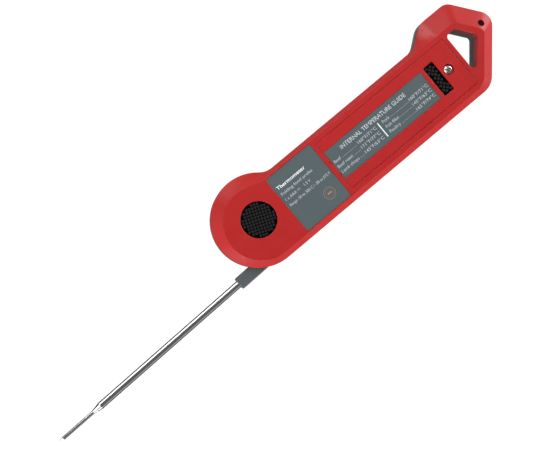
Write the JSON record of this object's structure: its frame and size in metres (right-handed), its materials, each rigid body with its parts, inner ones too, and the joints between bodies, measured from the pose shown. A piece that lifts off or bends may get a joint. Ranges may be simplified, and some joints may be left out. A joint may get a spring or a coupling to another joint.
{
  "type": "folding probe thermometer",
  "caption": "Folding food thermometer with a swing-out steel needle probe, a battery bay with a screwed cover, magnetic pads and a hanging loop.",
  "frame": {"origin": "on the probe's pivot axis, in the plane of the front face that the part lies on", "axes": "+X along the bar to the hanging loop, +Y to the side that the probe folds along, +Z out of the rear face"},
  "size_m": [0.2752, 0.0432, 0.019],
  "materials": {
    "red_plastic": "fine satin moulded ABS, bright red",
    "front_plastic": "fine satin moulded ABS, dark grey",
    "boot_plastic": "moulded glass-filled nylon, blue grey",
    "label_film": "printed polyester film, slate grey, matte",
    "pad_film": "black textured grip film",
    "magnet": "nickel-plated magnet",
    "probe_steel": "polished stainless steel",
    "screw_steel": "zinc-plated steel",
    "spring_steel": "nickel-plated spring steel",
    "sleeve_brass": "turned brass",
    "seal_rubber": "black silicone rubber",
    "gasket_foam": "black adhesive foam",
    "washer_nylon": "natural nylon",
    "cell_can": "plated steel can",
    "cell_wrap": "plain printed sleeve, dark blue",
    "wire_red": "PVC insulated wire",
    "lead_yellow": "PTFE insulated thermocouple lead",
    "thermocouple_alloy": "nickel-chromium alloy wire",
    "board_green": "green solder mask",
    "chip_black": "black moulded package",
    "ceramic_tan": "ceramic capacitor body",
    "can_metal": "drawn metal can",
    "window_clear": "clear polycarbonate",
    "lcd_glass": "reflective liquid crystal display",
    "backlight_white": "white light guide",
    "frame_white": "white moulded ABS",
    "zebra_rubber": "striped conductive silicone",
    "button_grey": "light grey moulded ABS"
  },
  "bodies": {
    "case": {"rear_shell": "red_plastic", "front_shell": "front_plastic", "shell_seal": "seal_rubber", "case_screws": "screw_steel", "pivot_screw": "screw_steel", "pivot_sleeve": "sleeve_brass", "friction_washer": "washer_nylon", "board_lead": "lead_yellow", "rear_label": "label_film", "round_magnet": "magnet", "round_magnet_pad": "pad_film", "battery_seal": "seal_rubber", "aaa_cell": "cell_can", "aaa_cell_sleeve": "cell_wrap", "positive_contact": "spring_steel", "negative_contact": "spring_steel", "negative_spring": "spring_steel", "battery_leads": "wire_red", "circuit_board": "board_green", "board_chips": "chip_black", "board_capacitors": "ceramic_tan", "board_crystal": "can_metal", "tilt_sensor": "chip_black", "fold_sensor": "chip_black", "snap_domes": "spring_steel", "display_window": "window_clear", "window_gasket": "gasket_foam", "display_glass": "lcd_glass", "display_backlight": "backlight_white", "display_connector": "zebra_rubber", "display_frame": "frame_white"},
    "battery_cover": {"battery_cover": "red_plastic", "guide_label": "label_film", "bar_magnet": "magnet", "bar_magnet_pad": "pad_film"},
    "cover_screw": {"battery_cover_screw": "screw_steel", "cover_screw_washer": "washer_nylon"},
    "probe": {"probe_hub": "boot_plastic", "hub_seals": "seal_rubber", "hub_magnet": "magnet", "probe_tube": "probe_steel", "thermocouple_wires": "thermocouple_alloy", "thermocouple_junction": "thermocouple_alloy", "probe_lead": "lead_yellow"},
    "hold_button": {"hold_button": "button_grey"},
    "light_button": {"light_button": "button_grey"}
  },
  "joints": [
    {"name": "probe_fold", "type": "hinge", "parent": "case", "child": "probe", "pos_m": [0, 0, 0.0095], "axis": [0, 0, 1], "range_deg": [-181.3, 0]},
    {"name": "battery_cover_tilt", "type": "hinge", "parent": "case", "child": "battery_cover", "pos_m": [0.04145, 0, 0.019], "axis": [0, -1, 0], "range_deg": [0, 75]},
    {"name": "cover_screw_turn", "type": "hinge", "parent": "battery_cover", "child": "cover_screw", "pos_m": [0.1102, -0.0029, 0.018], "axis": [0, 0, 1], "continuous": true},
    {"name": "hold_button_press", "type": "slide", "parent": "case", "child": "hold_button", "axis": [0, 0, 1], "range_m": [0, 0.0006], "stiffness_N_per_m": 800},
    {"name": "light_button_press", "type": "slide", "parent": "case", "child": "light_button", "axis": [0, 0, 1], "range_m": [0, 0.0006], "stiffness_N_per_m": 800}
  ]
}
